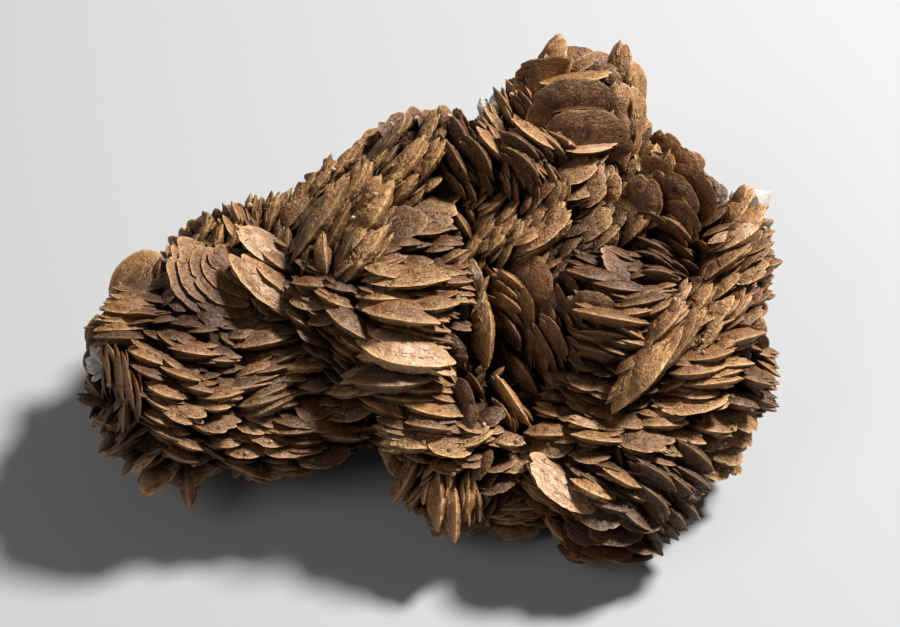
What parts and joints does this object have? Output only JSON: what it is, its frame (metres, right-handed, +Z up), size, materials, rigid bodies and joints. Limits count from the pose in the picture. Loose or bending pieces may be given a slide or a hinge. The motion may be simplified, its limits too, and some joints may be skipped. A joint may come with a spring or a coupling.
{
  "type": "siderite mineral specimen",
  "caption": "Free-standing siderite cabinet specimen: fans of lens-shaped bronze-brown crystals on a massive root, with small quartz points at its ends.",
  "frame": {"origin": "in the flat broken face that the specimen lies on, below the middle of the crystal mass", "axes": "+Z up, +X to the right and +Y to the back as the specimen is shown, with its show face looking forward and up"},
  "size_m": [0.1137, 0.0802, 0.0547],
  "materials": {
    "siderite": "golden to reddish brown siderite, sugary crystal faces with a dull bronze lustre and glassy thin edges",
    "quartz": "colourless to milky natural quartz, glassy faces"
  },
  "bodies": {
    "root": {"siderite": "siderite", "quartz_west": "quartz", "quartz_east": "quartz", "quartz_rim": "quartz"}
  },
  "joints": []
}
